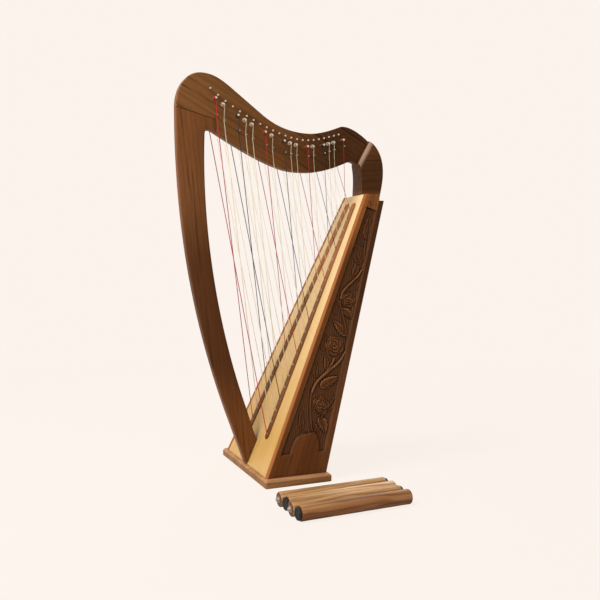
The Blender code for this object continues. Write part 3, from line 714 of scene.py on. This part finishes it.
# %% Eyelets round the string holes
for kind in ("natural", "accidental"):
    bm = bmesh.new()
    for name, index, side, pin in strings:
        if name == kind:
            profile = ((0.0, 0.0021), (0.0003, 0.0021), (0.0005, 0.0019), (0.0006, 0.0016), (0.0004, 0.0013),
                       (0.0, 0.0012))
            turned(bm, profile, 20, eye(index, -side) - 0.00005 * INWARD, -INWARD)
    piece_from(bm, kind + "_eyelets", dull_nickel, "harp")
print("eyelets are 4.2 mm across")

# %% Anchor strips behind the soundboard
for kind, side in (("natural", -1), ("accidental", 1)):
    depths = [0.0058, 0.0062, 0.0105, 0.0109]
    rings = []
    for depth, inset in zip(depths, (0.0005, 0.0, 0.0, 0.0005)):
        half = 0.0088 - inset
        ring = []
        for middle, start in ((0.583 - 0.0088, 0.0), (0.078 + 0.0088, math.pi)):
            for i in range(13):
                angle = start + math.pi * i / 12
                z = middle + half * math.sin(angle)
                ring.append((front_x(z) + depth, side * (0.0601 - 0.0745 * z) + half * math.cos(angle), z))
        rings.append(ring)
    bm = bmesh.new()
    loft(bm, rings)
    piece_from(bm, kind + "_anchor_strip", inner_wood, "harp", [kind + "_strings"])
print("two anchor strips")

# %% [markdown]
# ## The carved side panels
# Roses and leaves on a winding stem cover both sides of the soundbox. A carving like this has
# no undercuts, so every point of the panel has just one depth. That makes a height field the
# right tool: we lay a fine grid over the panel, work out the depth at each point with numpy,
# and move the points in by that much. All measures of the carving are in millimetres, as
# (s, z): s is the distance from the panel's front edge, and z the height.

# %% Distances to paths
def smooth_path(points, steps=10):
    """A curve through the points, each piece bent by its neighbours."""
    p = [np.array(point, float) for point in points]
    p = [2 * p[0] - p[1]] + p + [2 * p[-1] - p[-2]]
    out = []
    for a, b, c, d in zip(p, p[1:], p[2:], p[3:]):
        for i in range(steps):
            t = i / steps
            out.append(0.5 * (2 * b + (c - a) * t + (2 * a - 5 * b + 4 * c - d) * t * t
                              + (3 * b - a - 3 * c + d) * t ** 3))
    return out + [p[-2]]


def to_face(point):
    """(s, z) as true (x, z) millimetres on the face, so that a circle stays round."""
    return np.array([1000.0 * front_x(point[1] / 1000.0) + point[0], point[1]])


def near_path(points, x, z):
    """Distance of each grid point from a path, how far along it lies, and on which side."""
    best = np.full(x.shape, 1e9)
    place = np.zeros(x.shape)
    hand = np.zeros(x.shape)
    lengths = [np.hypot(*(b - a)) for a, b in zip(points, points[1:])]
    total, run = sum(lengths), 0.0
    for a, b, length in zip(points, points[1:], lengths):
        if length < 1e-9:
            continue
        ux, uz = (b - a) / length
        t = np.clip((x - a[0]) * ux + (z - a[1]) * uz, 0.0, length)
        dx, dz = x - a[0] - t * ux, z - a[1] - t * uz
        d = np.hypot(dx, dz)
        closer = d < best
        best = np.where(closer, d, best)
        place = np.where(closer, (run + t) / total, place)
        hand = np.where(closer, np.sign(ux * dz - uz * dx), hand)
        run += length
    return best, place, hand


# %% Shapes of the carving
GROUND = -3.2


class Relief:
    """Depths in mm over a grid of true face coordinates."""

    def __init__(self, x, z):
        self.x, self.z = x, z
        self.depth = np.full(x.shape, GROUND)

    def lay(self, inside, depth, wall=0.9, cut=0.9):
        """Put a shape on top, with a cut all round it. inside is the distance within its edge in mm."""
        self.depth = self.depth - cut * np.exp(-((inside + 1.2) / 1.1) ** 2)
        k = np.clip(inside / wall + 0.5, 0.0, 1.0)
        k = k * k * (3.0 - 2.0 * k)
        self.depth = self.depth * (1.0 - k) + depth * k

    def crease(self, points, width, depth):
        """A cut with the corner of a chisel, which fades out at both ends."""
        d, t, hand = near_path([to_face(p) for p in smooth_path(points)], self.x, self.z)
        fade = np.clip(np.minimum(t, 1.0 - t) * 6.0, 0.0, 1.0)
        self.depth = self.depth - depth * fade * np.exp(-(d / (width / 2)) ** 2)

    def stem(self, points, width, top=-0.1):
        d, t, hand = near_path([to_face(p) for p in smooth_path(points)], self.x, self.z)
        half = width / 2 * (1.0 - 0.35 * np.abs(2.0 * t - 1.0) ** 3)
        self.lay(half - d, top - 1.3 * np.clip(d / half, 0, 1) ** 2, cut=1.2)

    def leaf(self, points, width, veins=6, top=-0.4):
        """A leaf with a toothed edge, a folded middle and side veins."""
        d, t, hand = near_path([to_face(p) for p in smooth_path(points, 8)], self.x, self.z)
        saw = (t * veins) % 1.0
        half = width / 2 * np.sin(math.pi * np.clip(t, 0.0, 1.0) ** 0.72) ** 0.8 * (1.0 + 0.2 * (saw - 0.5)) + 0.05
        q = np.clip(d / np.maximum(half, 0.3), 0.0, 1.0)
        depth = top - 1.6 * (1.0 - q) ** 1.5 - 0.9 * np.exp(-(d / 0.9) ** 2) + 0.4 * hand * q
        depth -= 0.6 * np.exp(-((((t * veins - 0.10 * d) % 1.0) - 0.5) / 0.18) ** 2) * (q > 0.15)
        ends = np.clip(np.minimum(t, 1.0 - t) * 20.0, 0.0, 1.0)
        self.lay(np.where(ends > 0.02, half - d, -d), depth)

    def rose(self, place, radius, turn=0.0):
        """Rings of petals. Each has a high wavy rim and falls towards the next ring in."""
        cx, cz = to_face(place)
        for ring, (reach, petals, top) in enumerate(((1.0, 5, -0.9), (0.74, 4, -0.6), (0.49, 3, -0.3))):
            dx, dz = self.x - cx + 0.05 * radius * ring, self.z - cz - 0.07 * radius * ring
            d, a = np.hypot(dx, dz), np.arctan2(dz, dx)
            phase = petals * (a - turn - 1.1 * ring) + 1.2 * d / radius
            rim = radius * reach * (0.93 + 0.08 * np.cos(phase))
            between = np.exp(-((1.0 + np.cos(phase)) * d / petals / 1.0) ** 2)
            fall = np.clip((rim - d) / (0.30 * radius), 0.0, 1.0)
            self.lay(rim - d, top - 2.0 * fall - 0.8 * between, cut=0.8)
        self.lay(radius * 0.2 - d, -0.5 - 1.1 * (0.5 + 0.5 * np.cos(a - 1.2 * d)), cut=0.8)


# %% [markdown]
# The design follows the real panel: one main stem swings from side to side, with a rose in
# each bend, leaves between them, and a bud at the top. The stem is bold in two places and
# sinks into the ground elsewhere. At the foot there is a plain field with an arched top, which
# the carver left uncut.

# %% The design, in millimetres from the front edge and the floor
STEMS = [([(67, 101), (60, 114), (52, 130), (45, 146), (39, 163), (35, 178), (35, 192)], 4.0, -1.8),
         ([(80, 257), (80, 270), (76, 286), (69, 300), (60, 315), (50, 331), (40, 347), (30, 362), (26, 378)], 4.4, -1.8),
         ([(53, 428), (55, 447), (50, 460), (46, 474), (42, 486), (40, 498)], 3.6, -1.9),
         ([(80, 124), (77, 134), (71, 142)], 3.4, -1.2), ([(51, 219), (57, 230), (60, 248)], 4.0, -0.7),
         ([(34, 181), (35, 191), (39, 202), (46, 211), (53, 218), (60, 225), (67, 231), (73, 238), (78, 247),
           (80, 259)], 5.6, -0.1),
         ([(27, 372), (26, 384), (29, 392), (34, 399), (40, 406), (46, 414), (51, 423), (54, 433)], 5.2, -0.1)]
PLAIN_FIELD = [(-9, 5), (-9, 60), (33, 60), (32, 75), (33, 86), (37, 93), (44, 96), (55, 97), (66, 99),
               (73, 98), (79, 94), (85, 87), (90, 79), (94, 70), (97, 60), (145, 60), (145, 5)]
ROSES = [((66, 152), 19.0, 0.3), ((51, 274), 21.5, 0.9), ((45, 370), 17.0, 0.1)]
LEAVES = [([(70, 128), (84, 116), (98, 94)], 19, 5, -0.5), ([(62, 118), (70, 110), (78, 98)], 7, 4, -1.0),
          ([(44, 106), (34, 122), (26, 146)], 11, 5, -1.7), ([(84, 140), (92, 152), (94, 172)], 11, 5, -1.7),
          ([(49, 190), (66, 199), (84, 209)], 20, 5, -0.2), ([(36, 208), (28, 220), (24, 240)], 11, 5, -1.8),
          ([(50, 224), (46, 238), (36, 256)], 12, 5, -1.2), ([(30, 262), (24, 276), (24, 296)], 10, 5, -1.8),
          ([(70, 294), (49, 310), (27, 327)], 18, 6, -0.4), ([(38, 349), (54, 342), (72, 328)], 15, 5, -0.5),
          ([(70, 333), (67, 347), (60, 360)], 9, 4, -0.8), ([(28, 338), (22, 352), (21, 368)], 8, 4, -1.8),
          ([(57, 390), (62, 400), (60, 418)], 9, 4, -1.7), ([(38, 421), (40, 436), (33, 450)], 14, 4, -1.3),
          ([(46, 446), (33, 459), (21, 482)], 14, 6, -1.4), ([(53, 452), (56, 464), (52, 482)], 8, 4, -1.7),
          ([(40, 486), (30, 491), (21, 504)], 8, 4, -1.6), ([(43, 496), (38, 520), (27, 552)], 25, 3, -1.1)]
CREASES = [([(37, 100), (47, 101), (59, 98)], 5.0, 2.2), ([(70, 129), (78, 127), (88, 131)], 4.5, 1.8),
           ([(50, 160), (53, 148), (60, 141), (70, 137), (79, 138)], 4.0, 1.2),
           ([(54, 188), (68, 190), (80, 196), (87, 206)], 4.5, 1.6), ([(46, 204), (58, 215), (70, 229)], 4.5, 1.6),
           ([(31, 268), (40, 257), (57, 250)], 4.5, 1.4), ([(26, 329), (40, 309), (70, 291)], 4.0, 1.2),
           ([(37, 349), (45, 334), (56, 315), (66, 297)], 4.0, 1.4), ([(44, 343), (57, 333), (72, 327)], 4.5, 1.6),
           ([(30, 366), (38, 357), (50, 350)], 4.0, 1.2), ([(33, 393), (42, 403), (50, 417)], 4.5, 1.6),
           ([(24, 467), (33, 457), (43, 451)], 4.5, 1.4), ([(18, 522), (28, 505), (40, 496), (49, 503)], 4.0, 1.4),
           ([(21, 538), (27, 529), (32, 516)], 4.0, 1.2), ([(46, 520), (42, 532), (34, 544)], 3.5, 0.9)]
print(len(ROSES), "roses and", len(LEAVES), "leaves and buds on each side")


# %% The depth of every point
def inside_outline(outline, x, z):
    """Distance within a closed outline, negative outside it."""
    points = [to_face(p) for p in outline]
    d, t, hand = near_path(points + points[:1], x, z)
    within = np.zeros(x.shape, bool)
    for a, b in zip(points, points[1:] + points[:1]):
        crosses = (a[1] > z) != (b[1] > z)
        with np.errstate(divide='ignore', invalid='ignore'):
            edge = a[0] + (z - a[1]) * (b[0] - a[0]) / (b[1] - a[1])
        within ^= crosses & (x < edge)
    return np.where(within, d, -d)


def panel_depth(s, z, width):
    """Depth in mm at (s, z), for a panel that is width wide at each height."""
    x = 1000.0 * front_x(z / 1000.0) + s
    relief = Relief(x, z)
    for points, wide, veins, top in LEAVES:
        relief.leaf(points, wide, veins, top)
    for points, wide, top in STEMS:
        relief.stem(points, wide, top)
    for place, radius, turn in ROSES:
        relief.rose(place, radius, turn)
    for points, wide, deep in CREASES:
        relief.crease(points, wide, deep)
    cuts = np.sin(2.0 * math.pi * (s + 0.3 * z) / 4.6 + 1.5 * np.sin(z / 23.0) + np.sin(z / 5.1 + s / 9.0))
    ground = np.clip((GROUND + 1.2 - relief.depth) / 0.9, 0.0, 1.0)
    depth = relief.depth + (0.12 + 0.33 * ground) * cuts
    rim = np.minimum(s - 13.0, (JOINT_FRONT_Z * 1000.0 + 2.0 - 0.155 * s) - z)
    k = np.clip(rim / 1.4 + 0.5, 0.0, 1.0)
    depth = depth * k - 1.3 * np.exp(-((rim - 2.2) / 1.5) ** 2)
    back = np.clip((width - s) / 7.0, 0.0, 1.0)
    depth = depth * back * back * (3.0 - 2.0 * back)
    field = inside_outline(PLAIN_FIELD, x, z)
    k = np.clip(field / 2.4 + 0.3, 0.0, 1.0)
    depth = depth * (1.0 - k) - 0.15 * k * (rim > 0) - 0.4 * np.exp(-((field + 1.6) / 1.2) ** 2) * (rim > 0)
    return np.clip(depth, -4.6, 0.0)


def blurred(grid, reach):
    """Mean over a square of points, by running sums along each direction."""
    for axis in (0, 1):
        pad = [(reach + 1, reach) if a == axis else (0, 0) for a in (0, 1)]
        sums = np.cumsum(np.pad(grid, pad, mode='edge'), axis=axis)
        size = 2 * reach + 1
        grid = (np.take(sums, range(size, sums.shape[axis]), axis) - np.take(sums, range(sums.shape[axis] - size),
                                                                            axis)) / size
    return grid


# %% Build a panel from the depths
def carved_panel(name, side, node):
    rows, columns, corner = (640, 150, 2.5)
    t = np.linspace(0.0, 1.0, rows)[:, None]
    turn = np.linspace(0.0, math.pi / 2, 7)
    near_edge = corner * (1.0 - np.cos(turn))[None, :]
    across = np.linspace(0.0, 1.0, columns)[None, 1:]
    foot, joint_front, joint_back = 1000.0 * BOX_FOOT, 1000.0 * JOINT_FRONT_Z, 1000.0 * JOINT_BACK_Z
    flat_z = foot + t * (joint_front - foot)
    flat_width = 1000.0 * (back_x(flat_z / 1000.0) - BACK_LAP - front_x(flat_z / 1000.0))
    s = np.concatenate([near_edge + 0.0 * flat_width, corner + across * (flat_width - corner)], axis=1)
    z = foot + t * (joint_front + (joint_back - joint_front) * s / flat_width - foot)
    width = 1000.0 * (back_x(z / 1000.0) - BACK_LAP - front_x(z / 1000.0))
    s = np.where(s > corner, corner + (s - corner) * (width - corner) / (flat_width - corner), s)
    depth = panel_depth(s, z, width)
    # crease is how far a point lies below the mean of its neighbours, and the material paints shade in creases and a
    # highlight on ridges from it. The ridge highlight is weaker on deep-lying ridges and below 104 mm.
    crease = blurred(blurred(depth, 3), 2) - depth
    crease = np.where(crease < 0.0, crease * np.clip((depth + 1.7) / 0.9, 0.15, 1.0) * (1.0 - 0.8 * (z < 104.0)), crease)
    redder = 0.02 + 0.7 * np.clip((z - 460.0) / 70.0, 0.0, 1.0)
    hollow = np.clip((-0.8 - depth) / 2.0, 0.0, 1.0)
    hollow = np.where((width - s < 8.0) & (z > 150.0), np.maximum(hollow, 0.8), hollow)
    stored = {"ground": hollow, "crease": crease,
              "edging": np.maximum(1.0 - 0.4 * s, redder) * np.clip(12.6 - s, 0.0, 1.0)}
    depth = depth - np.where(s < corner, corner - np.sqrt(np.maximum(corner ** 2 - (corner - s) ** 2, 0.0)), 0.0)
    x = front_x(z / 1000.0) + s / 1000.0
    y = side * (half_width(z / 1000.0) + depth / 1000.0)
    count = x.shape[1]
    inner_y = side * (half_width(z / 1000.0) - SIDE_THICK)
    x = np.concatenate([x, x[:, -1:], x[:, :1], x[:, :1]], axis=1)
    y = np.concatenate([y, inner_y[:, -1:], inner_y[:, :1], inner_y[:, :1] + side * 0.0022], axis=1)
    z = np.concatenate([z, z[:, -1:], z[:, :1], z[:, :1]], axis=1) / 1000.0
    points = np.stack([x, y, z], axis=-1).reshape(-1, 3).tolist()
    ring = count + 3
    faces = []
    for r in range(rows - 1):
        for c in range(ring):
            d = (c + 1) % ring
            faces.append((r * ring + c, r * ring + d, (r + 1) * ring + d, (r + 1) * ring + c))
    faces.append(tuple(range(ring)))
    faces.append(tuple(range((rows - 1) * ring, rows * ring)))
    mesh = bpy.data.meshes.new(name)
    mesh.from_pydata(points, [], faces)
    bm = bmesh.new()
    bm.from_mesh(mesh)
    bpy.data.meshes.remove(mesh)
    add_border_top(bm, side, corner / 1000.0)
    made = piece_from(bm, name, carved_wood, "harp", [node], sharp=75)
    rest = len(made.data.vertices) - len(points)
    # The extra points along the cut edges: the one inside the front edge gets a crease of 1.3, which paints that edge
    # dark as painted shade.
    for key, edge in (("ground", (0.0, 0.0, 0.0)), ("crease", (0.0, 1.3, 0.0)), ("edging", (1.0, 1.0, 1.0))):
        grid = np.concatenate([stored[key], np.tile(edge, (rows, 1))], axis=1)
        values = np.concatenate([grid.ravel(), np.full(rest, 0.75 * edge[2])])
        made.data.attributes.new(key, 'FLOAT', 'POINT').data.foreach_set("value", values.astype(np.float32))
    print("%s: %d points, deepest cut %.1f mm" % (name, len(points), -depth.min()))
    return made


def add_border_top(bm, side, corner):
    """The panel's front border goes on past the joint, to the top of the box."""
    rings = []
    for high in (False, True):
        ring = []
        for i in range(7):
            angle = math.pi / 2 * i / 6
            ring.append((corner * (1.0 - math.cos(angle)), corner * (1.0 - math.sin(angle))))
        ring += [(SIDE_BORDER, 0.0), (SIDE_BORDER, SIDE_THICK), (0.0, SIDE_THICK)]
        points = []
        for s, inset in ring:
            z = BOX_TOP if high else JOINT_FRONT_Z - 0.155 * s
            points.append((front_x(z) + s, side * (half_width(z) - inset), z))
        rings.append(points)
    loft(bm, rings)


for name, side, node in (("carved_panel_near", -1, "side_panel_near"), ("carved_panel_far", 1, "side_panel_far")):
    carved_panel(name, side, node)

# %% [markdown]
# ## The loose legs
# The legs are turned on a lathe and oiled. One end has a threaded steel stud that screws into
# the base, the other a rubber foot. A real thread is a helix, and we get one by letting the
# stud's radius follow both the distance along it and the angle round it.

# %% Turn the legs, studs and feet
def threaded(bm, start, along, length, radius, pitch):
    turn = Vector((0.0, 0.0, 1.0)).rotation_difference(along)
    rings, sides = [], 24
    count = int(length / pitch * 8)
    for r in range(count + 1):
        distance = length * r / count
        taper = 0.0008 * max(0.0, 1.0 - (length - distance) / 0.0012)
        ring = []
        for i in range(sides):
            angle = 2.0 * math.pi * i / sides
            wave = 0.5 + 0.5 * math.cos(2.0 * math.pi * distance / pitch - angle)
            reach = radius - 0.0006 * wave - taper
            ring.append(turn @ Vector((reach * math.cos(angle), reach * math.sin(angle), distance)) + start)
        rings.append(ring)
    loft(bm, rings)


LEG_RADIUS, LEG_LENGTH, FOOT_LENGTH, STUD_LENGTH = 0.014, 0.225, 0.005, 0.005
lie = Vector((math.cos(math.radians(2.1)), math.sin(math.radians(2.1)), 0.0))
for number in range(1, 5):
    along = lie if number % 2 else -lie
    middle = Vector((0.028, -0.3353 + 0.0284 * (4 - number), LEG_RADIUS))
    stud_end = middle - along * (LEG_LENGTH + FOOT_LENGTH) / 2
    body = "leg_%d" % number
    bm = bmesh.new()
    profile = [(0.0, 0.0105)]
    for i in range(7):
        angle = math.pi / 2 * i / 6
        profile.append((0.0025 * (1 - math.cos(angle)), LEG_RADIUS - 0.0025 * (1 - math.sin(angle))))
    for i in range(1, 12):
        at = i / 12
        profile.append((LEG_LENGTH * at, LEG_RADIUS - 0.00012 * (1 + math.sin(37 * at + number))))
    profile += [(LEG_LENGTH - 0.002, LEG_RADIUS), (LEG_LENGTH - 0.0006, LEG_RADIUS - 0.0006),
                (LEG_LENGTH, LEG_RADIUS - 0.002)]
    turned(bm, profile, 56, stud_end, along)
    piece_from(bm, "turned_leg_%d" % number, red_leg_wood_with_painted_shade if number == 4 else leg_wood, body, [body])
    bm = bmesh.new()
    threaded(bm, stud_end + along * 0.001, -along, STUD_LENGTH + 0.001, 0.004, 0.00125)
    piece_from(bm, "leg_stud_%d" % number, dull_nickel, body, sharp=60)
    bm = bmesh.new()
    turned(bm, ((-0.0002, 0.0062), (0.0, 0.0062), (0.0006, 0.0062), (0.0009, 0.0058)), 24, stud_end, -along)
    piece_from(bm, "leg_washer_%d" % number, dull_nickel, body)
    bm = bmesh.new()
    foot = [(0.0003, 0.0115), (0.0006, 0.0118), (0.0032, 0.0118), (0.0043, 0.0114), (0.0049, 0.0104),
            (0.0050, 0.0090), (0.0050, 0.0060), (0.0042, 0.0050), (0.0042, 0.0030)]
    turned(bm, foot, 48, stud_end + along * LEG_LENGTH, along)
    piece_from(bm, "rubber_foot_%d" % number, rubber, body, ["leg_foot_%d" % number])
print("four legs of", round(1000 * (LEG_LENGTH + FOOT_LENGTH)), "mm, each with a foot and a stud")

# %% [markdown]
# ## Floor, light and camera
# The harp stands on a plain floor under soft light from high on the left. The floor gives back
# its own pale colour to the camera and keeps a light shadow close to the harp, which fades out
# further away, so no horizon shows. A camera sees the harp a little from the left of its side.

# %% A pale floor
BACKGROUND = "#FCF3EC"
floor_mesh = bpy.data.meshes.new("studio_floor")
floor_mesh.from_pydata([(-40, -40, 0), (40, -40, 0), (40, 40, 0), (-40, 40, 0)], [], [(0, 1, 2, 3)])
floor = bpy.data.objects.new("studio_floor", floor_mesh)
bpy.context.scene.collection.objects.link(floor)


def seen_directly(tree):
    """1 for rays from the camera, from a mirror-like surface or through a clear one."""
    path = add(tree, "LightPath")
    both = add(tree, "Math", {"operation": 'MAXIMUM'}, {0: path.outputs["Is Camera Ray"],
                                                        1: path.outputs["Is Glossy Ray"]})
    return add(tree, "Math", {"operation": 'MAXIMUM'}, {0: both.outputs[0],
                                                        1: path.outputs["Is Transmission Ray"]}).outputs[0]


finish, tree, surface = new_material("pale_studio_floor")
surface.inputs["Base Color"].default_value = linear("#E9E2DB")
surface.inputs["Roughness"].default_value = 0.9
glow = add(tree, "Emission", inputs={"Color": linear(BACKGROUND), "Strength": 1.0})
away = add(tree, "VectorMath", {"operation": 'LENGTH'}, {0: add(tree, "TexCoord").outputs["Object"]}).outputs["Value"]
share = add(tree, "MapRange", {"interpolation_type": 'SMOOTHSTEP'},
            {"Value": away, "From Min": 0.6, "From Max": 2.2, "To Min": 0.93, "To Max": 1.0})
share = times(tree, seen_directly(tree), share.outputs[0])
mixed = add(tree, "MixShader", inputs={0: share, 1: surface.outputs[0], 2: glow.outputs[0]})
tree.links.new(mixed.outputs[0], tree.nodes["Material Output"].inputs["Surface"])
floor_mesh.materials.append(finish)

# %% Soft light all round
scene = bpy.context.scene
world = bpy.data.worlds.new("soft_daylight")
scene.world = world
world.use_nodes = True
tree = world.node_tree
lit = tree.nodes["Background"]
lit.inputs["Color"].default_value = linear("#FBF3E8")
lit.inputs["Strength"].default_value = 0.28
shown = add(tree, "Background", inputs={"Color": linear(BACKGROUND), "Strength": 1.0})
both = add(tree, "MixShader", inputs={0: seen_directly(tree), 1: lit.outputs[0], 2: shown.outputs[0]})
tree.links.new(both.outputs[0], tree.nodes["World Output"].inputs["Surface"])


# %% Four soft lamps
def soft_lamp(name, place, size, power, target=(0.0, 0.0, 0.4)):
    lamp = bpy.data.lights.new(name, 'AREA')
    lamp.shape = 'DISK'
    lamp.size = size
    lamp.energy = power
    made = bpy.data.objects.new(name, lamp)
    made.location = place
    made.rotation_euler = (Vector(target) - Vector(place)).to_track_quat('-Z', 'Y').to_euler()
    scene.collection.objects.link(made)


soft_lamp("window_left", (-2.3, -0.8, 3.0), 1.2, 60.0)
soft_lamp("window_high", (-1.9, 0.0, 3.35), 1.0, 73.0)
soft_lamp("fill_left", (-2.4, -2.2, 1.0), 2.0, 40.0)
soft_lamp("fill_behind", (1.6, 2.4, 2.0), 2.0, 40.0)
print("four soft lamps and a pale sky")


# %% The camera
camera = bpy.data.cameras.new("camera")
camera.sensor_width = 36.0
camera.lens = 732.77 / 600 * 36.0
eye_point = bpy.data.objects.new("camera", camera)
eye_point.location = (-0.5666, -1.4898, 0.4410)
eye_point.rotation_euler = (math.radians(90.0 - math.degrees(0.0460)), 0.0, -0.3996)
scene.collection.objects.link(eye_point)
scene.camera = eye_point
scene.view_settings.view_transform = 'Standard'
print("lens %.1f mm" % camera.lens)
